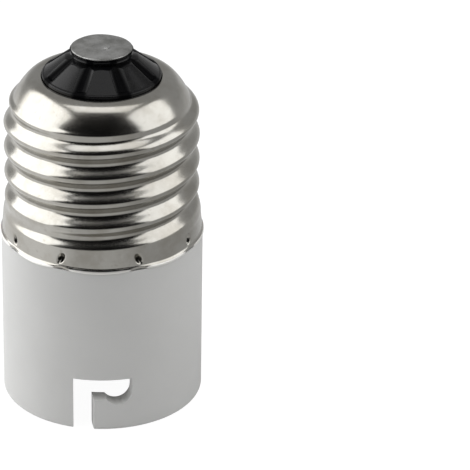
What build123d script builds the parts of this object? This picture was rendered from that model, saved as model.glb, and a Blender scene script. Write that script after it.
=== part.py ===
from build123d import *
from math import cos, pi, radians, sin, sqrt, tan
import os

# Lamp socket adapter: a screw cap on a bayonet lamp socket. All sizes are millimetres.
# The adapter stands on the open rim of its socket: z = 0 is the rim and +Z is its axis, up to the
# centre contact. The two plungers lie on the X axis and the J-slots open towards -Y and +Y.

# Housing, one moulding
body_radius = 13.7
bore_radius = 11.4
bore_depth = 9.4            # the straight bore that guides the lamp's cap
cavity_depth = 17.5         # rim to the floor of the socket
cavity_draft = 0.6          # degrees, from the straight bore to the floor
floor_thickness = 2.6
seat_height = 24.1          # rim to the shoulder under the screw shell's lip
neck_height = 3.2           # above the seat, inside the shell's skirt
spigot_height = 6.9         # above the seat, inside the shell's thread
spigot_wall = 1.6
shell_clearance = 0.18      # neck to skirt
spigot_clearance = 0.40     # spigot to the roots of the thread
rim_round = 0.45

# J-slots, cut straight through the wall
slot_offset = 4.6           # middle of the entry, beside the middle plane
slot_width = 2.7
slot_ceiling = 7.75
slot_shelf = 4.65
slot_end_radius = 1.95
slot_end_height = 5.85      # middle of the round seat for the lamp's pin
slot_corner = 0.25

# Plungers and their bosses
plunger_offset = 6.1        # axis of each plunger from the middle
plunger_radius = 1.54
plunger_reach = 5.1         # tip below the face of its boss
plunger_travel = 4.0
tip_round = 1.0             # height of the domed tip
tip_dimple = 0.45           # radius of the dimple in it
guide_clearance = 0.10
guide_length = 2.6
boss_radius = 4.1
boss_face = 14.7
boss_mouth = 2.0            # radius of the countersunk mouth
head_radius = 2.4
head_thickness = 1.0
head_gap = 0.10
pin_radius = 0.8
pin_length = 3.0
chamber_clearance = 0.20
spring_room = 4.6           # left for the closed spring when its plunger is right in

# Springs behind the plungers
spring_radius = 1.75        # middle of the wire
wire_radius = 0.25
spring_turns = 5
spring_gap = 0.05

# Terminals, leads and solder
terminal_plug = 1.0
terminal_fit = 0.05
terminal_flange = 0.8
flange_gap = 0.35           # flange of the terminal to the spigot's bore
cup_radius = 1.2
cup_height = 2.6
cup_bore = 0.75
cup_floor = 0.6
core_radius = 0.45
sleeve_wall = 0.5
lead_fit = 0.03
solder_height = 0.9
lead_rise = 7.4             # from the barrel's top to the first bend
bend_radius = 2.0
hook_rise = 2.4
hook_radius = 1.4
sleeve_gap = 0.3
centre_bend = 2.2           # below the contact's stem, where the lead meets the middle

# Screw shell, one rolled sheet
adapter_height = 51.0
cap_height = 10.5           # start of the dome to the contact's face
body_step = 0.52            # crests of the thread inside the body's outside
thread_depth = 1.13
thread_pitch = 3.629
crest_height = 2.02         # a crest on the +X side, above the start of the dome
sheet = 0.30
flare = 0.68                # how far the lip turns out
flare_height = 2.5
groove_start = 3.8          # above the seat, the middle of the groove where it begins
groove_full = 5.3           # and where it has reached its depth, further round
groove_fade = 2.2           # past the start of the dome, where the groove ends
groove_end = 3.7
dome_radius = 8.68
dome_angle = 43.7           # degrees of the dome's long arc
shoulder_radius = 3.33      # tighter arc that rolls over to the opening
shoulder_angle = 51.6
dome_sink = 0.73            # dome inside the line of the crests
sections = 12               # radial sections in half a turn
sheet_points = 56           # points along one section

# Crimp stabs that lock the shell's skirt to the neck
crimp_count = 9
crimp_angle = 0.4           # degrees, first stab from +X
crimp_height = 1.4          # above the seat
crimp_mouth = 0.75
crimp_depth = 0.55

# Glass insulator and centre contact
glass_gap = 0.12            # glass to the edge of the shell's opening
glass_reach = 0.82          # flange of the glass beyond the opening, under the dome
glass_depth = 2.2           # base of the glass below the opening
glass_rise = 1.0            # wall of the glass above the opening
glass_flange_height = 1.4
lip_height = 0.12           # small ring round the cone's foot
lip_width = 0.3
cone_top_radius = 4.25
collar_height = 0.55        # plain collar between the cone and the contact
facet_count = 8
facet_angle = 13.7          # degrees, first groove from +X
facet_groove = 0.8
facet_depth = 0.35
contact_radius = 4.15
contact_thickness = 0.35
contact_round = 0.15
stem_radius = 1.6
stem_bore = 0.75
stem_fit = 0.08
rivet_radius = 2.4
rivet_thickness = 0.4
dish_radius = 1.25
dish_depth = 0.2
bead_height = 0.16

# Places that follow from the sizes above
chamber_radius = head_radius + chamber_clearance
chamber_floor = boss_face + guide_length
head_bottom = chamber_floor + head_gap
head_top = head_bottom + head_thickness
barrel_top = head_top + plunger_travel + spring_room + terminal_plug
terminal_bottom = barrel_top - terminal_plug
cup_bottom = barrel_top + terminal_flange
cup_top = cup_bottom + cup_height
lead_start = cup_bottom + cup_floor
crest_radius = body_radius - body_step
dome_start = adapter_height - cap_height
neck_radius = crest_radius - sheet - shell_clearance
neck_top = seat_height + neck_height
spigot_top = seat_height + spigot_height
root_radius = crest_radius - thread_depth - sheet
spigot_radius = root_radius - spigot_clearance
cavity_end_radius = bore_radius - (cavity_depth - bore_depth) * tan(radians(cavity_draft))
floor_top = cavity_depth + floor_thickness
neck_bore = spigot_radius - spigot_wall
hook_offset = root_radius - core_radius - 0.1
sleeve_radius = core_radius + sleeve_wall
flange_radius = neck_bore - plunger_offset - flange_gap
straight_length = dome_start - seat_height
dome_length = dome_radius * radians(dome_angle)
sheet_length = straight_length + dome_length + shoulder_radius * radians(shoulder_angle)
tip = boss_face - plunger_reach
pin_top = head_top + pin_length
bend_height = barrel_top + lead_rise


def meridian(s):
    """Crest line of the sheet at length s above the lip: radius, height and the normal there."""
    if s <= straight_length:
        turned_out = max(0.0, (flare_height - s) / flare_height) ** 1.4
        return crest_radius + flare * turned_out, seat_height + s, 1.0, 0.0
    first = min(s - straight_length, dome_length) / dome_radius
    last = first + max(s - straight_length - dome_length, 0.0) / shoulder_radius
    radius = crest_radius - dome_radius * (1 - cos(first)) - shoulder_radius * (cos(first) - cos(last))
    height = dome_start + dome_radius * sin(first) + shoulder_radius * (sin(last) - sin(first))
    return radius, height, cos(last), sin(last)


def blend(value, start, end):
    """Smooth step from 0 at start to 1 at end."""
    t = min(max((value - start) / (end - start), 0.0), 1.0)
    return t * t * (3 - 2 * t)


def sheet_point(s, turn, skin):
    """Point of the sheet in the radial plane at this part of a turn; skin is the depth below it."""
    radius, height, out, up = meridian(s)
    past = s - straight_length
    phase = (past - crest_height) / thread_pitch - turn
    groove = thread_depth * (1 - cos(2 * pi * phase)) / 2
    middle = s + (0.5 - phase % 1) * thread_pitch
    left = blend(past, groove_fade, groove_end)
    depth = groove * blend(middle, groove_start, groove_full) * (1 - left) + dome_sink * left + skin
    return radius - out * depth, height - up * depth


def sheet_line(turn, skin):
    """Points of one skin of the sheet, from the lip to the edge of the opening."""
    return [sheet_point(sheet_length * k / sheet_points, turn, skin) for k in range(sheet_points + 1)]


def half_shell(first):
    """Half a turn of the sheet, from its radial sections."""
    steps = [k / sheet_points for k in range(sheet_points + 1)]
    with BuildPart() as half:
        for k in range(sections + 1):
            turn = first + 0.5 * k / sections
            angle = 2 * pi * turn
            radial = Plane(origin=(0, 0, 0), x_dir=(cos(angle), sin(angle), 0),
                           z_dir=(sin(angle), -cos(angle), 0))
            with BuildSketch(radial):
                with BuildLine():
                    outer = sheet_line(turn, 0)
                    inner = sheet_line(turn, sheet)
                    add(Edge.make_spline(outer, parameters=steps))
                    Line(outer[-1], inner[-1])
                    add(Edge.make_spline(inner, parameters=steps))
                    Line(inner[0], outer[0])
                make_face()
        loft()
    return half.part


# The glass and the contact follow the edge of the shell's opening
opening_radius, opening_height = sheet_point(sheet_length, 0, 0)
cone_radius = opening_radius - glass_gap
glass_flange = opening_radius + glass_reach
glass_base = opening_height - glass_depth
cone_foot_radius = cone_radius - lip_width - 0.1
cone_foot = opening_height + glass_rise - lip_height
flange_top = glass_base + glass_flange_height
contact_bottom = adapter_height - contact_thickness
cone_top = contact_bottom - collar_height
dish_floor = adapter_height - dish_depth
rivet_bottom = glass_base - rivet_thickness
centre_height = rivet_bottom - centre_bend

# Screw shell: two half turns of the sheet, then the stabs
with BuildPart() as screw_shell:
    add(half_shell(0))
    add(half_shell(0.5))
    # Each stab is a small cone pushed into the sheet, so its inside stands proud by the sheet
    with Locations(Plane.XY.offset(seat_height + crimp_height)):
        with PolarLocations(crest_radius - sheet / 2, crimp_count, crimp_angle):
            Cone(crimp_mouth + sheet / 2, 0.1, crimp_depth + sheet / 2, rotation=(0, -90, 0),
                 align=(Align.CENTER, Align.CENTER, Align.MIN))
        with PolarLocations(crest_radius + flare, crimp_count, crimp_angle):
            Cone(crimp_mouth + flare, 0.05, crimp_depth + flare, rotation=(0, -90, 0),
                 align=(Align.CENTER, Align.CENTER, Align.MIN), mode=Mode.SUBTRACT)

# Housing: the socket wall, floor, neck and spigot are one revolved section
with BuildPart() as housing:
    with BuildSketch(Plane.XZ):
        with BuildLine():
            Polyline(
                (0, cavity_depth), (cavity_end_radius, cavity_depth), (bore_radius, bore_depth),
                (bore_radius, 0), (body_radius, 0), (body_radius, seat_height),
                (neck_radius, seat_height), (neck_radius, neck_top), (spigot_radius, neck_top),
                (spigot_radius, spigot_top), (neck_bore, spigot_top), (neck_bore, floor_top),
                (0, floor_top), (0, cavity_depth),
            )
        make_face()
    revolve(axis=Axis.Z)
    rim_edges = housing.edges().filter_by(GeomType.CIRCLE).group_by(Axis.Z)[0]
    fillet(rim_edges, radius=rim_round)
    # Bosses below the floor run on above it as the barrels round the springs
    with Locations((-plunger_offset, 0, boss_face), (plunger_offset, 0, boss_face)):
        Cylinder(boss_radius, barrel_top - boss_face, align=(Align.CENTER, Align.CENTER, Align.MIN))
    for side in (-1, 1):
        with BuildSketch(Plane(origin=(side * plunger_offset, 0, 0), x_dir=(1, 0, 0), z_dir=(0, -1, 0))):
            with BuildLine():
                guide_radius = plunger_radius + guide_clearance
                Polyline(
                    (0, boss_face), (boss_mouth, boss_face),
                    (guide_radius, boss_face + boss_mouth - guide_radius),
                    (guide_radius, chamber_floor), (chamber_radius, chamber_floor),
                    (chamber_radius, barrel_top), (0, barrel_top), (0, boss_face),
                )
            make_face()
        revolve(axis=Axis((side * plunger_offset, 0, 0), (0, 0, 1)), mode=Mode.SUBTRACT)
    # J-slots: entry from the rim, arm to one side and a round seat where the lamp's pin rests
    entry_start = -slot_offset - slot_width / 2
    entry_end = -slot_offset + slot_width / 2
    seat_start = -sqrt(slot_end_radius ** 2 - (slot_end_height - slot_shelf) ** 2)
    for side in (1, -1):
        with BuildSketch(Plane(origin=(0, 0, 0), x_dir=(side, 0, 0), z_dir=(0, -side, 0))) as slot:
            with BuildLine():
                Polyline((seat_start, slot_shelf), (entry_end, slot_shelf), (entry_end, 0),
                         (entry_start, 0), (entry_start, slot_ceiling),
                         (slot_end_radius, slot_ceiling), (slot_end_radius, slot_end_height))
                ThreePointArc((slot_end_radius, slot_end_height),
                              (0, slot_end_height - slot_end_radius), (seat_start, slot_shelf))
            make_face()
            corners = slot.vertices().filter_by(
                lambda v: v.Z > slot_ceiling - 0.01
                or abs(v.X * side - entry_end) < 0.01 and v.Z > slot_shelf - 0.01)
            fillet(corners, radius=slot_corner)
        extrude(amount=body_radius + 1, mode=Mode.SUBTRACT)
    # Pockets under the crimp stabs, and the groove that the bared lead lies in
    with Locations(Plane.XY.offset(seat_height + crimp_height)):
        with PolarLocations(crest_radius, crimp_count, crimp_angle):
            Cone(crimp_mouth + 2 * sheet, 0.3, crimp_depth + 2 * sheet, rotation=(0, -90, 0),
                 align=(Align.CENTER, Align.CENTER, Align.MIN), mode=Mode.SUBTRACT)
    with BuildSketch(Plane.XY.offset(neck_top - 1)):
        with Locations((hook_offset, 0)):
            Circle(core_radius + lead_fit)
            with Locations((1, 0)):
                Rectangle(2, 2 * (core_radius + lead_fit))
    extrude(amount=spigot_height, mode=Mode.SUBTRACT)

# Glass insulator: a cone with a ring round its foot, and a flange under the shell's dome
with BuildPart() as cap_insulator:
    with BuildSketch(Plane.XZ):
        with BuildLine():
            Polyline(
                (stem_radius + stem_fit, glass_base), (glass_flange, glass_base),
                (glass_flange, flange_top), (cone_radius, flange_top + (glass_flange - cone_radius) / 2),
                (cone_radius, cone_foot + lip_height), (cone_radius - lip_width, cone_foot + lip_height),
                (cone_foot_radius, cone_foot), (cone_top_radius, cone_top),
                (cone_top_radius, contact_bottom),
                (stem_radius + stem_fit, contact_bottom), (stem_radius + stem_fit, glass_base),
            )
        make_face()
    revolve(axis=Axis.Z)
    # Radial grooves part the cone into its facets
    for k in range(facet_count):
        angle = radians(facet_angle) + 2 * pi * k / facet_count
        radial = Plane(origin=(0, 0, 0), x_dir=(cos(angle), sin(angle), 0),
                       z_dir=(sin(angle), -cos(angle), 0))
        with BuildSketch(radial):
            with BuildLine():
                Polyline(
                    (cone_top_radius + 0.2, contact_bottom), (cone_foot_radius, contact_bottom),
                    (cone_foot_radius, cone_foot - facet_depth),
                    (cone_top_radius + 0.2, cone_top - facet_depth), close=True,
                )
            make_face()
        extrude(amount=facet_groove / 2, both=True, mode=Mode.SUBTRACT)

# Centre contact: an eyelet with its stem turned out under the glass
with BuildPart() as centre_contact:
    with BuildSketch(Plane.XZ) as eyelet:
        with BuildLine():
            Polyline(
                (stem_bore, rivet_bottom), (rivet_radius, rivet_bottom), (rivet_radius, glass_base),
                (stem_radius, glass_base), (stem_radius, contact_bottom),
                (contact_radius, contact_bottom), (contact_radius, adapter_height),
                (dish_radius, adapter_height), (dish_radius, dish_floor), (stem_bore, dish_floor),
                close=True,
            )
        make_face()
        rim = eyelet.vertices().group_by(Axis.X)[-1].group_by(Axis.Z)[-1]
        fillet(rim, radius=contact_round)
    revolve(axis=Axis.Z)

# The bead of solder that closes the eyelet, a little lower than the contact's face
with BuildPart() as tip_solder:
    with BuildSketch(Plane.XZ):
        with BuildLine():
            bead_radius = dish_radius - stem_fit
            Polyline((0, dish_floor + bead_height), (0, dish_floor), (bead_radius, dish_floor),
                     (bead_radius, dish_floor + bead_height / 3))
            TangentArc((0, dish_floor + bead_height), (bead_radius, dish_floor + bead_height / 3),
                       tangent=(1, 0))
        make_face()
    revolve(axis=Axis.Z)

os.makedirs("parts", exist_ok=True)
screw_shell.part.label = "screw_shell"
export_step(screw_shell.part, "parts/screw_shell.step")
housing.part.label = "housing"
export_step(housing.part, "parts/housing.step")
cap_insulator.part.label = "cap_insulator"
export_step(cap_insulator.part, "parts/cap_insulator.step")
centre_contact.part.label = "centre_contact"
export_step(centre_contact.part, "parts/centre_contact.step")
tip_solder.part.label = "tip_solder"
export_step(tip_solder.part, "parts/tip_solder.step")


def upright(x):
    """Plane through the axis at this x, with its own x axis as the radius and +Z up."""
    return Plane(origin=(x, 0, 0), x_dir=(1, 0, 0), z_dir=(0, -1, 0))


# Each side has its plunger, spring, terminal and the solder round the lead in the terminal's cup
for name, side in (("left", -1), ("right", 1)):
    x = side * plunger_offset
    axis = Axis((x, 0, 0), (0, 0, 1))

    with BuildPart() as plunger:
        with BuildSketch(upright(x)):
            with BuildLine():
                Polyline(
                    (tip_dimple, tip), (0, tip + tip_dimple / 3), (0, pin_top), (pin_radius, pin_top),
                    (pin_radius, head_top), (head_radius, head_top), (head_radius, head_bottom),
                    (plunger_radius, head_bottom), (plunger_radius, tip + tip_round),
                )
                TangentArc((plunger_radius, tip + tip_round), (tip_dimple, tip), tangent=(0, -1))
            make_face()
        revolve(axis=axis)
    plunger.part.label = f"plunger_{name}"
    export_step(plunger.part, f"parts/plunger_{name}.step")

    with BuildPart() as spring:
        spring_bottom = head_top + wire_radius + spring_gap
        spring_top = terminal_bottom - wire_radius - spring_gap
        with BuildLine():
            coil = Helix(pitch=(spring_top - spring_bottom) / spring_turns,
                         height=spring_top - spring_bottom, radius=spring_radius,
                         center=(x, 0, spring_bottom))
        with BuildSketch(Plane(origin=coil @ 0, z_dir=coil % 0)):
            RegularPolygon(wire_radius, 8)
        sweep(is_frenet=True)
    spring.part.label = f"spring_{name}"
    export_step(spring.part, f"parts/spring_{name}.step")

    with BuildPart() as terminal:
        with BuildSketch(upright(x)):
            with BuildLine():
                plug_radius = chamber_radius - terminal_fit
                Polyline(
                    (0, terminal_bottom), (plug_radius, terminal_bottom), (plug_radius, barrel_top),
                    (flange_radius, barrel_top), (flange_radius, cup_bottom), (cup_radius, cup_bottom),
                    (cup_radius, cup_top), (cup_bore, cup_top), (cup_bore, lead_start), (0, lead_start),
                    close=True,
                )
            make_face()
        revolve(axis=axis)
    terminal.part.label = f"terminal_{name}"
    export_step(terminal.part, f"parts/terminal_{name}.step")

    with BuildPart() as solder:
        with BuildSketch(upright(x)):
            with BuildLine():
                collar_radius = core_radius + lead_fit
                Polyline(
                    (collar_radius, cup_top), (cup_radius - 0.1, cup_top),
                    (collar_radius + 0.2, cup_top + solder_height),
                    (collar_radius, cup_top + solder_height), close=True,
                )
            make_face()
        revolve(axis=axis)
    solder.part.label = f"solder_{name}"
    export_step(solder.part, f"parts/solder_{name}.step")

# Leads: the left one rises to the centre contact, the right one hooks over the spigot
# and is trapped bare between it and the roots of the thread
tip_route = [(-plunger_offset, lead_start), (-plunger_offset, bend_height),
             (0, centre_height), (0, dish_floor)]
hook_top = ((plunger_offset + hook_offset) / 2, bend_height + hook_rise)
shell_route = [(plunger_offset, lead_start), (plunger_offset, bend_height), hook_top,
               (hook_offset, bend_height), (hook_offset, neck_top)]
sleeve_start = cup_top + solder_height + lead_fit
sleeve_mid = ((plunger_offset + hook_top[0]) / 2, (bend_height + hook_top[1]) / 2)
leads = (
    ("tip_lead", tip_route, (bend_radius, bend_radius),
     [(-plunger_offset, sleeve_start), (-plunger_offset, bend_height), (0, centre_height),
      (0, rivet_bottom - sleeve_gap)], (bend_radius, bend_radius)),
    ("shell_lead", shell_route, (bend_radius, hook_radius, bend_radius),
     [(plunger_offset, sleeve_start), (plunger_offset, bend_height), sleeve_mid], (bend_radius,)),
)
for name, core_route, core_bends, sleeve_route, sleeve_bends in leads:
    with BuildPart() as core:
        with BuildLine(Plane.XZ):
            path = FilletPolyline(*core_route, radius=core_bends)
        with BuildSketch(Plane(origin=path @ 0, z_dir=path % 0)):
            Circle(core_radius)
        sweep()
    core.part.label = f"{name}_core"
    export_step(core.part, f"parts/{name}_core.step")
    print(name, "core", round(path.length, 2), "mm", round(core.part.volume / (pi * core_radius**2), 2))

    with BuildPart() as sleeve:
        with BuildLine(Plane.XZ):
            path = FilletPolyline(*sleeve_route, radius=sleeve_bends)
        with BuildSketch(Plane(origin=path @ 0, z_dir=path % 0)):
            Circle(sleeve_radius)
            Circle(core_radius + lead_fit, mode=Mode.SUBTRACT)
        sweep()
    sleeve.part.label = f"{name}_sleeve"
    export_step(sleeve.part, f"parts/{name}_sleeve.step")
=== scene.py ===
import bpy
from math import cos, pi, radians, sin
import numpy as np
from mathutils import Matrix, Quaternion, Vector


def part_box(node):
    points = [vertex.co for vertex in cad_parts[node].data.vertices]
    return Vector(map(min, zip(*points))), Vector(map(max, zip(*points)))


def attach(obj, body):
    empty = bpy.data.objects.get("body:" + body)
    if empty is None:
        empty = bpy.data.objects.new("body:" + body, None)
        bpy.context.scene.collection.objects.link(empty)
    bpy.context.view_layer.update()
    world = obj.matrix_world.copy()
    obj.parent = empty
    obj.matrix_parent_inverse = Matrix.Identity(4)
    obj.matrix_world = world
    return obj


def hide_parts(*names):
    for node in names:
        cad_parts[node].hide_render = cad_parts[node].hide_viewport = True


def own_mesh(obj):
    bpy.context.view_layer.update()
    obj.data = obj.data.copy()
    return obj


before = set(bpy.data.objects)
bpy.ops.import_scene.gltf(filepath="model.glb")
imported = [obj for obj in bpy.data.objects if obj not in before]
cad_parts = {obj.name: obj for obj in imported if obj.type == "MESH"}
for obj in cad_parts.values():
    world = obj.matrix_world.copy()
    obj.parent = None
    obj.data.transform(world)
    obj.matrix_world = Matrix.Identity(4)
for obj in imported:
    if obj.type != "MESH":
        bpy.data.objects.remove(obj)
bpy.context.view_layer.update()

# Lamp socket adapter: a nickel-plated screw cap on a moulded bayonet socket.
# Lengths are millimetres unless a name says otherwise; meshes are made in metres.
MM = 0.001


def measure(node):
    """Lowest and highest corner of a CAD node, in millimetres."""
    low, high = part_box(node)
    return low / MM, high / MM


# Sizes read from the frame
body_radius = measure("housing")[1].x
seat_height = measure("screw_shell")[0].z
glass_low, glass_high = measure("cap_insulator")
glass_flange = glass_high.x
glass_base = glass_low.z
contact_high = measure("centre_contact")[1]
contact_radius = contact_high.x
adapter_height = contact_high.z
solder_low, solder_high = measure("tip_solder")

# Screw shell: the same rolled sheet as the solid, with a finer lip and stabs
cap_height = 10.5
body_step = 0.52
thread_depth = 1.13
thread_pitch = 3.629
crest_height = 1.57         # a crest on the +X side, above the start of the dome
sheet = 0.30
skirt_step = 0.24           # the skirt is this much wider than the thread
skirt_top = 4.3             # above the seat, where the sheet begins to widen to the skirt
skirt_low = 2.9
flare = 0.24                # further widening towards the lip
flare_height = 2.5
groove_start = 3.0          # above the seat, the middle of the groove where it begins
groove_full = 5.4           # and where it has reached its depth
last_groove = 0.80          # width of the lowest groove, as a share of the others
last_groove_top = 4.8       # above the seat, the groove is this narrow up to here
whole_groove = 6.4          # and from here up it has its whole width
top_groove = 0.84           # depth of the groove's last turn on the dome, as a share
top_groove_start = 0.8      # above the start of the dome, it gets shallower from here
top_groove_full = 2.2       # to here
groove_fade = 2.2           # along the dome, where the groove begins to run out
groove_end = 3.7            # and where it has gone
dome_radius = 8.68
dome_arc = radians(43.7)
shoulder_radius = 3.33
shoulder_arc = radians(51.6)
dome_sink = 0.73
crimp_count = 9
crimp_angle = radians(0.4)
crimp_drift = (1.2, -0.9, 0.6, -1.4, 1.0, 1.3, -3.4, 1.9, -0.2)    # each stab's own turn, degrees
crimp_height = 1.55         # above the seat
crimp_depth = 0.85
crimp_half_width = 0.46
crimp_half_height = 0.78
crimp_slant = 0.5           # lean of a stab, to the left and the right in turn
crimp_round = 0.1           # rounding at the bottom of a stab
bead_round = 0.16           # rounding of the very edge
bead_height = 0.36          # rolled edge of the lip
bead_top = 0.62             # the sheet steps out to the edge from here down
bead_proud = 0.20
bead_hang = 0.20            # the edge hangs this much lower between two stabs
hang_height = 1.2           # the sheet takes part in that up to this height
crease_height = 0.66        # fine groove over the bead
crease_width = 0.12
crease_depth = 0.05
bead_line = 0.38            # a fine line along the middle of the edge
bead_line_width = 0.06
bead_line_depth = 0.05
edge_lift = 0.12            # the edge is drawn up under each stab
edge_lift_width = 0.8
tuck_depth = 0.22           # the edge is drawn in under each stab
tuck_height = 0.8
tuck_width = 1.1
crease_lost = 0.75          # share of the crease that a stab presses flat
crest_radius = body_radius - body_step
dome_start = adapter_height - cap_height
straight_length = dome_start - seat_height
dome_length = dome_radius * dome_arc
sheet_length = straight_length + dome_length + shoulder_radius * shoulder_arc

# Glass insulator
contact_thickness = 0.35
glass_gap = 0.12
glass_rise = 0.55           # wall above the edge of the opening
lip_width = 0.30            # rounded step from the wall to the cone
lip_drop = 0.256
flange_height = 1.4
collar_radius = 4.25
collar_height = 0.55
collar_waist = 0.12         # hollow of the collar under the contact
petal_count = 8
petal_angle = radians(13.7)
petal_groove = 0.72
petal_rise = 0.40
petal_round = 0.70
petal_crown = 0.30          # the top edge of a petal is an arch this high
petal_margin = 0.12         # smooth band over the petals
petal_foot = 0.88           # share of the slope from which the grooves run out to the lip

# Centre contact and its solder
contact_round = 0.10        # rounding of the face's edge
contact_under_round = 0.08  # and of the edge under it
contact_sink = 0.05         # the face lies this much under the full height
contact_fall = 0.05         # and falls away this much to its edge
contact_waver = 0.05        # the edge is uneven by this much
dish_gap = 0.02             # round the solder
rivet_radius = 2.4
rivet_thickness = 0.4
rivet_taper = 0.1
stem_radius = 1.6
stem_fit = 0.08
stem_bore = 0.75
solder_sink = 0.045         # under the full height
solder_peak = 0.16
solder_peak_x, solder_peak_y = 0.5, -0.7
solder_peak_spread = 0.10   # square millimetres
solder_waver = 0.02         # unevenness of the rest
solder_hole = 0.02          # radius of the hole in the middle of the mesh, as a share

# Springs behind the plungers
spring_radius = 1.75        # middle of the wire
spring_turns = 5

# Camera, fitted to the photograph: it looks down at a point on the axis, which lies left of
# the middle of the picture
camera_distance = 477.6
camera_azimuth = radians(-8.8)
camera_elevation = radians(27.03)
camera_target_height = 25.0
camera_pan = radians(-2.169)
camera_tilt = radians(-0.243)
camera_roll = radians(-0.2)
camera_lens = 268.5
sensor_width = 36.0

# Studio: azimuths in degrees from the camera's, light levels where 1 is white
left_azimuth = -95
right_azimuth = 78
table_gap = 0.02            # the rim stands this much clear of the table
table_colour = 0.8          # what the table throws back as soft light
table_shadow = 0.14         # how strongly the camera sees the adapter's shadow on it
table_glow = 0.95           # the table's own white for the camera
mirror_level = 0.66         # the table in reflections
mirror_left = 0.45          # painted light: brighter towards the left softbox
mirror_right = -0.15        # and painted shade: darker towards the right one
inside_light = 0.5          # light from the table up into the socket, which shows its inside
inside_full = 10.5          # from the axis, it is this strong up to here
inside_end = 11.2           # and gone from here on
wall_behind = 0.42          # the room in reflections: the far wall
wall_in_front = 0.003       # and the dark side with the camera
horizon_level = 0.5         # the lowest part of the walls, all round
room_light = 0.12           # soft light from the room

# Painted highlight on the edge of the lip, and painted shade on the glass between its petals
lip_highlight_colour = (0.86, 0.85, 0.82, 1)
lip_highlight_roughness = 0.55
lip_highlight_start = 0.09         # beyond the skirt's widest radius
lip_highlight_full = 0.13
painted_groove_shine = 0.02         # specular level in the glass's grooves, lowered as painted shade


def smooth(value, start, end):
    """Smooth step from 0 at start to 1 at end."""
    t = np.clip((value - start) / (end - start), 0.0, 1.0)
    return t * t * (3 - 2 * t)


def meridian(s):
    """Crest line of the sheet at length s above the lip: radius, height and the normal there."""
    turned_out = (flare * np.maximum(flare_height - s, 0) / flare_height
                  + skirt_step * smooth(s, skirt_top, skirt_low))
    first = np.clip(s - straight_length, 0, dome_length) / dome_radius
    last = first + np.maximum(s - straight_length - dome_length, 0) / shoulder_radius
    radius = (crest_radius + turned_out - dome_radius * (1 - np.cos(first))
              - shoulder_radius * (np.cos(first) - np.cos(last)))
    height = (seat_height + np.minimum(s, straight_length) + dome_radius * np.sin(first)
              + shoulder_radius * (np.sin(last) - np.sin(first)))
    return radius, height, np.cos(last), np.sin(last)


stab_number = np.arange(-1, crimp_count + 2)
stab_angle = (crimp_angle + stab_number * 2 * pi / crimp_count
              + np.radians([crimp_drift[n % crimp_count] for n in stab_number]))


def stab_turn(theta):
    """Position round the axis counted in stabs: a whole number at each of them."""
    turn = (theta - stab_angle[1]) % (2 * pi) + stab_angle[1]
    return np.interp(turn, stab_angle, stab_number)


def from_stab(theta):
    """Angle to the nearest crimp stab, from -half to +half of their mean spacing."""
    turn = stab_turn(theta)
    return (turn - np.round(turn)) * 2 * pi / crimp_count


def lip_detail(s, theta):
    """Depth of the crease, the bead and its fine line at the lip, drawn in under the stabs."""
    near = np.exp(-(from_stab(theta) * crest_radius / tuck_width) ** 2)
    crease = np.exp(-((s - crease_height) / crease_width) ** 2) * crease_depth * (1 - crease_lost * near)
    below = np.clip(1 - s / bead_round, 0, 1)
    bead = bead_proud * smooth(s, bead_top, bead_height) - bead_round * (1 - np.sqrt(1 - below ** 2))
    line = np.exp(-((s - bead_line) / bead_line_width) ** 2) * bead_line_depth
    tucked = near * tuck_depth * smooth(s, tuck_height, 0.0) + line
    return crease - bead + tucked


def stab_depth(s, theta):
    """Depth of the small pointed dents that lock the skirt to the neck."""
    across = from_stab(theta) * crest_radius / crimp_half_width
    along = (s - crimp_height) / crimp_half_height
    slant = across - crimp_slant * along * np.cos(pi * np.round(stab_turn(theta)))
    reach = np.sqrt(slant ** 2 + along ** 2 + crimp_round ** 2) - crimp_round
    return crimp_depth * np.clip(1 - reach, 0, 1)


def sheet_point(s, theta, skin, lip):
    """Point of the sheet as radius and height; skin is its depth in the sheet, and lip is 1 on
    the outer skin, which alone has the detail of the edge."""
    radius, height, out, up = meridian(s)
    past = s - straight_length
    phase = (past - crest_height) / thread_pitch - theta / (2 * pi)
    middle = s + (0.5 - phase % 1) * thread_pitch
    width = last_groove + (1 - last_groove) * smooth(middle, last_groove_top, whole_groove)
    below_crest = np.minimum((1 - phase % 1) / width, 1.0)
    groove = thread_depth * (1 - np.cos(2 * pi * below_crest)) / 2
    on_dome = smooth(middle - straight_length, top_groove_start, top_groove_full)
    groove = groove * (1 - (1 - top_groove) * on_dome)
    left = smooth(past, groove_fade, groove_end)
    depth = groove * smooth(middle, groove_start, groove_full) * (1 - left) + dome_sink * left + skin
    depth = depth + stab_depth(s, theta) + lip * lip_detail(s, theta)
    sag = (np.cos(from_stab(theta) * crimp_count) - 1) / 2 * bead_hang + edge_lift * np.exp(
        -(from_stab(theta) * crest_radius / edge_lift_width) ** 2)
    height = height + sag * smooth(s, hang_height, 0.0)
    return radius - out * depth, height - up * depth


def place(radius, height, theta):
    """Points in metres at these cylinder coordinates."""
    radius, height, theta = np.broadcast_arrays(radius, height, theta)
    return np.stack([radius * np.cos(theta), radius * np.sin(theta), height], -1) * MM


def ring_faces(rings, count, closed):
    """Quads between neighbouring rings of the same number of points."""
    a = np.arange(rings if closed else rings - 1)[:, None] * count
    b = (a + count) % (rings * count)
    i = np.arange(count)[None, :]
    j = (i + 1) % count
    return np.stack([a + i, a + j, b + j, b + i], -1).reshape(-1, 4)


def make_mesh(name, points, faces, material, crease=40.0):
    """Mesh object, shaded smooth up to the crease angle in degrees."""
    data = bpy.data.meshes.new(name)
    data.from_pydata(points.tolist(), [], [list(f) for f in faces])
    data.validate()
    data.shade_smooth()
    data.set_sharp_from_angle(angle=radians(crease))
    data.materials.append(material)
    piece = bpy.data.objects.new(name, data)
    bpy.context.scene.collection.objects.link(piece)
    return piece


def stand_for(piece, body, slot, *nodes):
    """Puts the piece in place of its CAD nodes."""
    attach(piece, body)
    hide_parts(*nodes)


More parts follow.
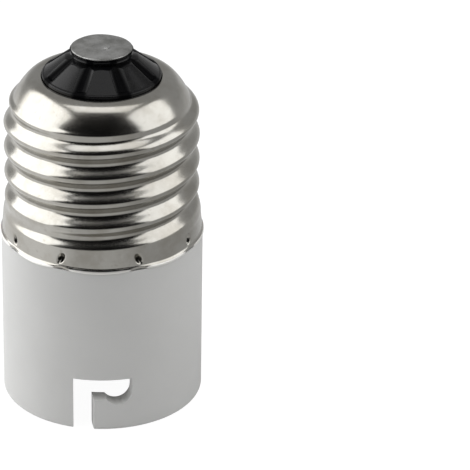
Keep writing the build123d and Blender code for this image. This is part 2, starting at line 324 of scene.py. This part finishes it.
class Graph:
    """A node tree with short ways to add nodes and join them."""

    def __init__(self, tree):
        self.tree = tree

    def add(self, kind, inputs=None, **settings):
        """New node; inputs maps socket names to values or to the sockets that feed them."""
        node = self.tree.nodes.new(kind)
        for key, value in settings.items():
            setattr(node, key, value)
        for key, value in (inputs or {}).items():
            if isinstance(value, bpy.types.NodeSocket):
                self.tree.links.new(value, node.inputs[key])
            else:
                node.inputs[key].default_value = value
        return node

    def math(self, operation, first, second=0.5):
        """Result of a Math node."""
        return self.add("ShaderNodeMath", {0: first, 1: second}, operation=operation).outputs[0]

    def ramp(self, value, low, high, to_low=0.0, to_high=1.0):
        """Smooth Map Range from low..high to to_low..to_high."""
        node = self.add("ShaderNodeMapRange", {
            "Value": value, "From Min": low, "From Max": high, "To Min": to_low, "To Max": to_high,
        }, interpolation_type="SMOOTHSTEP")
        return node.outputs["Result"]

    def mix(self, factor, first, second):
        """Mixed number."""
        return self.add("ShaderNodeMix", {0: factor, 2: first, 3: second}).outputs[0]

    def mix_colour(self, factor, first, second):
        """Mixed colour."""
        return self.add("ShaderNodeMix", {0: factor, 6: first, 7: second}, data_type="RGBA").outputs[2]

    def coordinates(self):
        """The object's own coordinates, in metres."""
        return self.add("ShaderNodeTexCoord").outputs["Object"]

    def vector(self, operation, first, second=(0.0, 0.0, 0.0)):
        """Node of a Vector Math operation."""
        return self.add("ShaderNodeVectorMath", {0: first, 1: second}, operation=operation)

    def emission(self, strength):
        """White light of this strength."""
        return self.add("ShaderNodeEmission", {"Color": WHITE, "Strength": strength}).outputs[0]

    def shader_mix(self, factor, first, second):
        """Mixed shader."""
        return self.add("ShaderNodeMixShader", {0: factor, 1: first, 2: second}).outputs[0]

    def shader_sum(self, first, second):
        """Two shaders added."""
        return self.add("ShaderNodeAddShader", {0: first, 1: second}).outputs[0]


def new_group(name, inputs, outputs):
    """Node group with named sockets; returns its graph, its inputs and its output node."""
    tree = bpy.data.node_groups.new(name, "ShaderNodeTree")
    for socket, kind, value in inputs:
        made = tree.interface.new_socket(socket, in_out="INPUT", socket_type=kind)
        made.default_value = value
    for socket, kind in outputs:
        tree.interface.new_socket(socket, in_out="OUTPUT", socket_type=kind)
    graph = Graph(tree)
    return graph, graph.add("NodeGroupInput").outputs, graph.add("NodeGroupOutput")


NUMBER, COLOUR, NORMAL = "NodeSocketFloat", "NodeSocketColor", "NodeSocketVector"
WHITE = (1.0, 1.0, 1.0, 1.0)


def tarnish_group():
    """Cloudy change from the clean colour to the dull one, with small spots of the dull one."""
    graph, given, out = new_group(
        "tarnish",
        [("Clean", COLOUR, (0.5, 0.5, 0.5, 1)), ("Dull", COLOUR, (0.3, 0.3, 0.3, 1)),
         ("Cloud Size", NUMBER, 300.0), ("Clouds", NUMBER, 0.4), ("Spots", NUMBER, 0.2)],
        [("Color", COLOUR), ("Mask", NUMBER)])
    place_on = graph.coordinates()
    cloud = graph.add("ShaderNodeTexNoise", {
        "Vector": place_on, "Scale": given["Cloud Size"], "Detail": 5.0, "Roughness": 0.6})
    fleck = graph.add("ShaderNodeTexNoise", {
        "Vector": place_on, "Scale": graph.math("MULTIPLY", given["Cloud Size"], 6.0), "Detail": 2.0})
    clouds = graph.math("MULTIPLY", graph.ramp(cloud.outputs[0], 0.38, 0.68), given["Clouds"])
    spots = graph.math("MULTIPLY", graph.ramp(fleck.outputs[0], 0.62, 0.72), given["Spots"])
    mask = graph.math("MAXIMUM", clouds, spots)
    colour = graph.mix_colour(mask, given["Clean"], given["Dull"])
    graph.tree.links.new(colour, out.inputs["Color"])
    graph.tree.links.new(mask, out.inputs["Mask"])
    return graph.tree


def grain_group():
    """Fine unevenness of a surface as a normal; Lay squeezes it into lines round the axis."""
    graph, given, out = new_group(
        "surface_grain",
        [("Grain Size", NUMBER, 3000.0), ("Lay", NUMBER, 1.0), ("Height", NUMBER, 0.00001),
         ("Strength", NUMBER, 0.2)],
        [("Normal", NORMAL)])
    stretch = graph.add("ShaderNodeCombineXYZ", {"X": 1.0, "Y": 1.0, "Z": given["Lay"]})
    squeezed = graph.vector("MULTIPLY", graph.coordinates(), stretch.outputs[0])
    noise = graph.add("ShaderNodeTexNoise", {
        "Vector": squeezed.outputs[0], "Scale": given["Grain Size"], "Detail": 3.0})
    bump = graph.add("ShaderNodeBump", {
        "Strength": given["Strength"], "Distance": given["Height"], "Height": noise.outputs[0]})
    graph.tree.links.new(bump.outputs["Normal"], out.inputs["Normal"])
    return graph.tree


tarnish = tarnish_group()
surface_grain = grain_group()


def new_material(name):
    """Material with nothing but its Principled shader; returns its graph and the shader too."""
    material = bpy.data.materials.new(name)
    material.use_nodes = True
    material.node_tree.nodes.clear()
    graph = Graph(material.node_tree)
    shader = graph.add("ShaderNodeBsdfPrincipled")
    output = graph.add("ShaderNodeOutputMaterial")
    graph.tree.links.new(shader.outputs[0], output.inputs["Surface"])
    return material, graph, shader


def finish_material(name, clean, dull, roughness, metallic=0.0, cloud_size=300.0, clouds=0.4,
                    spots=0.2, grain_size=3000.0, lay=1.0, height=0.00001, strength=0.2,
                    rougher=0.15, specular=0.5):
    """Procedural material: cloudy colour, a roughness that follows it and a fine grain."""
    material, graph, shader = new_material(name)
    cloudy = graph.add("ShaderNodeGroup", node_tree=tarnish)
    for key, value in (("Clean", (*clean, 1)), ("Dull", (*dull, 1)), ("Cloud Size", cloud_size),
                       ("Clouds", clouds), ("Spots", spots)):
        cloudy.inputs[key].default_value = value
    grain = graph.add("ShaderNodeGroup", node_tree=surface_grain)
    for key, value in (("Grain Size", grain_size), ("Lay", lay), ("Height", height),
                       ("Strength", strength)):
        grain.inputs[key].default_value = value
    rough = graph.ramp(cloudy.outputs["Mask"], 0.0, 1.0, roughness, roughness + rougher)
    links = graph.tree.links
    links.new(cloudy.outputs["Color"], shader.inputs["Base Color"])
    links.new(rough, shader.inputs["Roughness"])
    links.new(grain.outputs["Normal"], shader.inputs["Normal"])
    shader.inputs["Metallic"].default_value = metallic
    shader.inputs["Specular IOR Level"].default_value = specular
    return material


def shader_of(material):
    """A material's graph and its Principled shader."""
    graph = Graph(material.node_tree)
    return graph, next(n for n in graph.tree.nodes if n.type == "BSDF_PRINCIPLED")


def paint_lip_highlight(material):
    """Painted highlight along the edge of the lip, the widest part of the shell: it is paler and less
    polished there.
    """
    graph, shader = shader_of(material)
    flat = graph.vector("MULTIPLY", graph.coordinates(), (1.0, 1.0, 0.0))
    reach = graph.vector("LENGTH", flat.outputs[0]).outputs["Value"]
    widest = crest_radius + skirt_step + flare
    edge = graph.ramp(reach, (widest + lip_highlight_start) * MM, (widest + lip_highlight_full) * MM)
    for socket, mix, highlight in (("Base Color", graph.mix_colour, lip_highlight_colour),
                                ("Roughness", graph.mix, lip_highlight_roughness)):
        before = shader.inputs[socket].links[0].from_socket
        graph.tree.links.new(mix(edge, before, highlight), shader.inputs[socket])


def paint_groove_shade(material):
    """Painted shade: less shine in the grooves between the petals, standing in for the shadow in them."""
    graph, shader = shader_of(material)
    parts = graph.add("ShaderNodeSeparateXYZ", {0: graph.coordinates()}).outputs
    angle = graph.math("ARCTAN2", parts["Y"], parts["X"])
    turned = graph.math("MULTIPLY", graph.math("SUBTRACT", angle, petal_angle), float(petal_count))
    shine = shader.inputs["Specular IOR Level"]
    groove_shade = graph.ramp(graph.math("COSINE", turned), 0.30, 0.85, shine.default_value, painted_groove_shine)
    graph.tree.links.new(groove_shade, shine)


nickel = finish_material(
    "bright_nickel_plate", (0.42, 0.41, 0.38), (0.29, 0.27, 0.23), 0.19, metallic=1.0,
    cloud_size=240.0, clouds=0.5, spots=0.35, grain_size=1500.0, lay=2.0, height=0.00003,
    strength=0.13, rougher=0.07)
# painted highlight along the edge of the lip
paint_lip_highlight(nickel)
tin = finish_material(
    "dull_tinned_brass", (0.46, 0.46, 0.45), (0.20, 0.20, 0.19), 0.42, metallic=1.0,
    cloud_size=420.0, clouds=0.9, spots=0.5, grain_size=900.0, height=0.00016, strength=0.7)
solder = finish_material(
    "soft_solder", (0.48, 0.48, 0.47), (0.22, 0.22, 0.21), 0.36, metallic=1.0,
    cloud_size=420.0, clouds=0.9, spots=0.4, grain_size=900.0, height=0.00016, strength=0.7)
black_glass = finish_material(
    "pressed_black_glass", (0.0015, 0.0015, 0.002), (0.004, 0.004, 0.004), 0.24,
    cloud_size=500.0, clouds=0.5, spots=0.3, grain_size=900.0, height=0.00006, strength=0.3,
    rougher=0.12, specular=0.20)
# painted shade in the grooves between the petals
paint_groove_shade(black_glass)
moulding = finish_material(
    "pale_grey_moulding", (0.58, 0.58, 0.57), (0.55, 0.55, 0.54), 0.42,
    cloud_size=90.0, clouds=0.5, spots=0.25, grain_size=2500.0, height=0.00002, strength=0.25)
brass = finish_material(
    "tarnished_brass", (0.52, 0.38, 0.18), (0.28, 0.20, 0.10), 0.28, metallic=1.0,
    cloud_size=500.0, clouds=0.8, spots=0.4, grain_size=2500.0, height=0.00003, strength=0.3)
terminal_brass = finish_material(
    "turned_terminal_brass", (0.62, 0.47, 0.22), (0.42, 0.31, 0.15), 0.24, metallic=1.0,
    cloud_size=400.0, clouds=0.5, spots=0.2, grain_size=2500.0, lay=5.0, height=0.00003, strength=0.3)
spring_steel = finish_material(
    "drawn_spring_steel", (0.42, 0.42, 0.43), (0.24, 0.23, 0.22), 0.25, metallic=1.0,
    cloud_size=600.0, clouds=0.5, spots=0.4, grain_size=4000.0, height=0.00002, strength=0.3)
copper = finish_material(
    "bare_copper_core", (0.70, 0.36, 0.22), (0.38, 0.20, 0.13), 0.30, metallic=1.0,
    cloud_size=600.0, clouds=0.5, spots=0.3, grain_size=4000.0, height=0.00003, strength=0.4)
sleeving = finish_material(
    "lead_sleeving", (0.70, 0.69, 0.63), (0.60, 0.59, 0.53), 0.50,
    cloud_size=500.0, clouds=0.5, spots=0.3, grain_size=2500.0, height=0.00003, strength=0.3)


def make_shell():
    """The rolled screw shell as one closed mesh: outer skin, edge of the opening, inner skin."""
    around, lip_rows, rows, inner_rows = 46, 34, 136, 48
    lip_zone = 2.6              # the rows are closer together up to here
    lip_crowding = 1.5          # and more so towards the edge
    stab_crowding = 0.09        # the columns are closer together at each stab
    cell = np.arange(around) / around - 0.5
    cell = cell - stab_crowding * np.sin(2 * pi * cell)
    theta = np.interp((np.arange(crimp_count)[:, None] + cell).ravel(), stab_number, stab_angle)
    lip_share = np.linspace(0, 1, lip_rows, endpoint=False) ** lip_crowding
    outer_s = np.concatenate([lip_zone * lip_share, np.linspace(lip_zone, sheet_length, rows)])
    inner_s = np.linspace(sheet_length, 0, inner_rows)
    rings = [place(*sheet_point(s, theta, 0.0, 1.0), theta) for s in outer_s]
    across_edge = (0.3, 0.7)    # two rows on the cut edge of the sheet
    rings += [place(*sheet_point(sheet_length, theta, sheet * k, 0.0), theta) for k in across_edge]
    rings += [place(*sheet_point(s, theta, sheet, 0.0), theta) for s in inner_s]
    points = np.concatenate(rings)
    faces = ring_faces(len(rings), len(theta), closed=True)
    piece = make_mesh("rolled_screw_shell", points, faces, nickel, crease=60.0)
    stand_for(piece, "housing", "shell_nickel", "screw_shell")


def make_glass():
    """The black glass: a wall in the opening, a rounded lip, the petalled cone and a collar."""
    around = 400
    theta = np.arange(around) * 2 * pi / around
    edge_radius, edge_height = sheet_point(sheet_length, 0.0, 0.0, 0.0)
    wall_radius = float(edge_radius) - glass_gap
    foot_radius = wall_radius - lip_width
    foot_height = float(edge_height) + glass_rise
    contact_bottom = adapter_height - contact_thickness
    cone_top = contact_bottom - collar_height
    slope = Vector((foot_radius - collar_radius, foot_height - cone_top))
    normal_out, normal_up = -slope.y / slope.length, slope.x / slope.length
    spacing = 2 * pi / petal_count
    from_groove = (theta - petal_angle + spacing / 2) % spacing - spacing / 2
    middle = np.cos(from_groove * petal_count / 2) ** 2
    rings = []

    def ring(radius, height):
        rings.append(place(radius, height, theta))

    ring(stem_radius + stem_fit, contact_bottom)
    ring(collar_radius, contact_bottom)
    for t in np.linspace(0.1, 0.9, 7):
        ring(collar_radius - collar_waist * sin(pi * t), contact_bottom - collar_height * t)
    for t in np.linspace(0, 1, 60):
        radius = collar_radius + slope.x * t
        height = cone_top + slope.y * t
        side = np.abs(from_groove) * radius - petal_groove / 2
        top = t * slope.length - petal_crown * middle - petal_margin
        rounded = smooth(np.minimum(side, top), -petal_groove / 2, petal_round)
        sunk = petal_rise * (1 - rounded) * smooth(t, 1.0, petal_foot)
        ring(radius - normal_out * sunk, height - normal_up * sunk)
    for angle in np.linspace(0.2, pi / 2, 7):
        ring(foot_radius + lip_width * sin(angle), foot_height - lip_drop * (1 - cos(angle)))
    flange_top = glass_base + flange_height
    ring(wall_radius, flange_top + (glass_flange - wall_radius) / 2)
    ring(glass_flange, flange_top)
    ring(glass_flange, glass_base)
    ring(stem_radius + stem_fit, glass_base)
    faces = ring_faces(len(rings), around, closed=True)
    piece = make_mesh("petalled_glass", np.concatenate(rings), faces[:, ::-1], black_glass, crease=50.0)
    stand_for(piece, "housing", "glass_black", "cap_insulator")


def make_contact():
    """The eyelet with a hand-soldered, slightly uneven face."""
    around = 192
    theta = np.arange(around) * 2 * pi / around
    top, bottom = adapter_height, adapter_height - contact_thickness
    wave = 0.5 * np.sin(3 * theta + 0.6) + 0.3 * np.sin(7 * theta + 2.0) + 0.2 * np.sin(12 * theta)
    rings = []

    def ring(radius, height):
        rings.append(place(radius, height, theta))

    dish_radius, dish_floor = solder_high.x + dish_gap, solder_low.z
    face = top - contact_sink
    ring(stem_bore, dish_floor)
    ring(dish_radius, dish_floor)
    ring(dish_radius, face)
    for radius in np.linspace(dish_radius + dish_gap, contact_radius - contact_round, 14):
        share = (radius - dish_radius) / (contact_radius - dish_radius)
        uneven = 0.03 * np.sin(2 * theta + 5 * share) + 0.02 * np.sin(5 * theta - 7 * share)
        ring(radius, face + uneven * share - contact_fall * share ** 4)
    edge = contact_radius - contact_waver + contact_waver * wave
    face_edge = face - contact_fall
    for angle in np.linspace(0.15, pi / 2, 6):
        ring(edge - contact_round * (1 - sin(angle)), face_edge - contact_round * (1 - cos(angle)))
    for angle in np.linspace(0, pi / 2, 4):
        ring(edge - contact_under_round * (1 - cos(angle)), bottom + contact_under_round * (1 - sin(angle)))
    ring(stem_radius, bottom)
    ring(stem_radius, glass_base)
    ring(rivet_radius, glass_base)
    ring(rivet_radius - rivet_taper, glass_base - rivet_thickness)
    ring(stem_bore, glass_base - rivet_thickness)
    points = np.concatenate(rings)
    faces = ring_faces(len(rings), around, closed=True)
    piece = make_mesh("tinned_eyelet", points, faces[:, ::-1], tin, crease=45.0)
    stand_for(piece, "housing", "contact_tinned", "centre_contact")


def make_tip_solder():
    """The mound of solder in the eyelet, with the small peak that the iron left."""
    around = 96
    theta = np.arange(around) * 2 * pi / around
    floor = solder_low.z
    radius_out = solder_high.x
    rings = []
    for share in np.linspace(solder_hole, 1, 16):
        spread = radius_out * share
        x, y = spread * np.cos(theta), spread * np.sin(theta)
        from_peak = (x - solder_peak_x) ** 2 + (y - solder_peak_y) ** 2
        peak = solder_peak * np.exp(-from_peak / solder_peak_spread)
        uneven = solder_waver * np.sin(4 * x + 1) * np.cos(3 * y)
        height = adapter_height - solder_sink + peak + uneven * (1 - share)
        rings.append(place(spread, height, theta))
    rings.append(place(radius_out, floor, theta))
    rings.append(place(radius_out * solder_hole, floor, theta))
    points = np.concatenate(rings)
    faces = ring_faces(len(rings), around, closed=True)
    piece = make_mesh("solder_mound", points, faces, solder, crease=50.0)
    stand_for(piece, "housing", "solder", "tip_solder")


def make_spring(side):
    """A coil spring that fills the box of its CAD node."""
    low, high = measure("spring_" + side)
    centre = (low + high) / 2
    wire = (high.x - low.x) / 2 - spring_radius
    along, sides = 36, 12
    turn = np.linspace(0, 2 * pi * spring_turns, along * spring_turns + 1)[:, None]
    round_wire = (np.arange(sides) * 2 * pi / sides)[None, :]
    height = low.z + wire + (high.z - low.z - 2 * wire) * turn / turn[-1] + wire * np.sin(round_wire)
    points = place(spring_radius + wire * np.cos(round_wire), height, turn).reshape(-1, 3)
    points = points + np.array([centre.x, centre.y, 0]) * MM
    faces = [tuple(f) for f in ring_faces(len(turn), sides, closed=False)]
    faces += [tuple(range(sides)), tuple(range(len(points) - 1, len(points) - 1 - sides, -1))]
    piece = make_mesh("coil_spring_" + side, points, faces, spring_steel)
    stand_for(piece, "housing", "spring_wire", "spring_" + side)
    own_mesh(piece)


def dress_nodes():
    """Gives every CAD node its finish, those that a finer piece stands for too."""
    finishes = {
        "housing": moulding, "plunger_left": brass, "plunger_right": brass,
        "spring_left": spring_steel, "spring_right": spring_steel,
        "terminal_left": terminal_brass, "terminal_right": terminal_brass,
        "solder_left": solder, "solder_right": solder,
        "tip_lead_core": copper, "shell_lead_core": copper,
        "tip_lead_sleeve": sleeving, "shell_lead_sleeve": sleeving,
        "screw_shell": nickel, "cap_insulator": black_glass, "centre_contact": tin,
        "tip_solder": solder,
    }
    for name, material in finishes.items():
        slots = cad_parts[name].data.materials
        slots.clear()
        slots.append(material)


def make_camera():
    """Camera at the photograph's place; the pan and tilt put the axis left of the middle."""
    away = Vector((sin(camera_azimuth) * cos(camera_elevation),
                   -cos(camera_azimuth) * cos(camera_elevation), sin(camera_elevation)))
    target = Vector((0, 0, camera_target_height))
    data = bpy.data.cameras.new("photo_camera")
    data.lens = camera_lens
    data.sensor_width = sensor_width
    data.clip_start, data.clip_end = 0.01, 20.0
    camera = bpy.data.objects.new("photo_camera", data)
    camera.location = (target + away * camera_distance) * MM
    camera.rotation_mode = "QUATERNION"
    turned = (Quaternion((0, 1, 0), camera_pan) @ Quaternion((1, 0, 0), camera_tilt)
              @ Quaternion((0, 0, 1), camera_roll))
    camera.rotation_quaternion = (-away).to_track_quat("-Z", "Y") @ turned
    bpy.context.scene.collection.objects.link(camera)
    bpy.context.scene.camera = camera


def towards(azimuth, elevation):
    """Direction at this many degrees from the camera's azimuth, and above the horizon."""
    a, e = camera_azimuth + radians(azimuth), radians(elevation)
    return Vector((sin(a) * cos(e), -cos(a) * cos(e), sin(e)))


def make_softbox(name, azimuth, elevation, distance, wide, high, radiance):
    """Soft rectangular lamp that faces the adapter; sizes in metres."""
    data = bpy.data.lights.new(name, "AREA")
    data.shape = "RECTANGLE"
    data.size, data.size_y = wide, high
    data.energy = radiance * pi * wide * high
    lamp = bpy.data.objects.new(name, data)
    away = towards(azimuth, elevation)
    lamp.location = Vector((0, 0, camera_target_height * MM)) + away * distance
    lamp.rotation_mode = "QUATERNION"
    lamp.rotation_quaternion = (-away).to_track_quat("-Z", "Y")
    lamp.visible_camera = False
    bpy.context.scene.collection.objects.link(lamp)


def make_lights():
    """Two softboxes at the sides and a smaller one overhead."""
    away = 0.60
    make_softbox("softbox_left", left_azimuth, 28, away, wide=0.84, high=0.62, radiance=2.6)
    make_softbox("softbox_right", right_azimuth, 30, away, wide=0.58, high=0.52, radiance=1.9)
    make_softbox("softbox_over", 0, 83, away, wide=0.64, high=0.38, radiance=1.8)


def make_floor():
    """Plain white table: white to the camera and in reflections, with the adapter's faint shadow.
    It can be seen through from below, and lights the inside of the socket."""
    material = bpy.data.materials.new("white_table")
    material.use_nodes = True
    material.node_tree.nodes.clear()
    graph = Graph(material.node_tree)
    path = graph.add("ShaderNodeLightPath").outputs
    geometry = graph.add("ShaderNodeNewGeometry").outputs
    plain, faint = [graph.add("ShaderNodeBsdfDiffuse", {"Color": (grey, grey, grey, 1)}).outputs[0]
                    for grey in (table_colour, table_shadow)]
    side = graph.vector("NORMALIZE", geometry["Position"]).outputs[0]
    to_left = graph.vector("DOT_PRODUCT", side, towards(left_azimuth, 0)).outputs["Value"]
    to_right = graph.vector("DOT_PRODUCT", side, towards(right_azimuth, 0)).outputs["Value"]
    # Painted light and shade on the table as it shows in reflections: brighter towards the left softbox,
    # darker towards the right one
    lit_left = graph.ramp(to_left, 0.3, 0.9, 0.0, mirror_left)
    lit_right = graph.ramp(to_right, 0.4, 0.9, 0.0, mirror_right)
    mirror = graph.math("ADD", graph.math("ADD", lit_left, lit_right), mirror_level)
    from_middle = graph.vector("LENGTH", geometry["Position"]).outputs["Value"]
    under_bore = graph.ramp(from_middle, inside_full * MM, inside_end * MM, inside_light, 0.0)
    seen = graph.shader_sum(faint, graph.emission(table_glow))
    bounced = graph.shader_sum(plain, graph.emission(under_bore))
    lit = graph.shader_mix(path["Is Camera Ray"], bounced, seen)
    reflected = graph.math("MAXIMUM", path["Is Glossy Ray"], path["Is Transmission Ray"])
    whole = graph.shader_mix(reflected, lit, graph.emission(mirror))
    open_below = graph.add("ShaderNodeBsdfTransparent", {"Color": WHITE}).outputs[0]
    sided = graph.shader_mix(geometry["Backfacing"], whole, open_below)
    output = graph.add("ShaderNodeOutputMaterial")
    graph.tree.links.new(sided, output.inputs["Surface"])
    half, under = 3.0, -table_gap * MM
    points = np.array([(-half, -half, under), (half, -half, under), (half, half, under),
                       (-half, half, under)])
    floor = make_mesh("table_top", points, [(0, 1, 2, 3)], material)


def make_world():
    """White backdrop for the camera; the room on the camera's side is dark in reflections."""
    world = bpy.data.worlds.new("studio_room")
    world.use_nodes = True
    world.node_tree.nodes.clear()
    graph = Graph(world.node_tree)
    path = graph.add("ShaderNodeLightPath").outputs
    direction = graph.add("ShaderNodeTexCoord").outputs["Generated"]
    facing = graph.vector("DOT_PRODUCT", direction, towards(0, 0)).outputs["Value"]
    height = graph.add("ShaderNodeSeparateXYZ", {0: direction}).outputs["Z"]
    walls = graph.ramp(facing, -0.45, 0.25, wall_behind, wall_in_front)
    room = graph.ramp(height, 0.05, 0.22, horizon_level, walls)
    reflected = graph.math("MAXIMUM", path["Is Glossy Ray"], path["Is Transmission Ray"])
    soft = graph.mix(reflected, room_light, room)
    strength = graph.mix(path["Is Camera Ray"], soft, 1.0)
    background = graph.add("ShaderNodeBackground", {"Color": WHITE, "Strength": strength})
    output = graph.add("ShaderNodeOutputWorld")
    graph.tree.links.new(background.outputs[0], output.inputs["Surface"])
    bpy.context.scene.world = world


make_shell()
make_glass()
make_contact()
make_tip_solder()
make_spring("left")
make_spring("right")
dress_nodes()
make_camera()
make_lights()
make_floor()
make_world()
bpy.context.scene.view_settings.view_transform = "Standard"
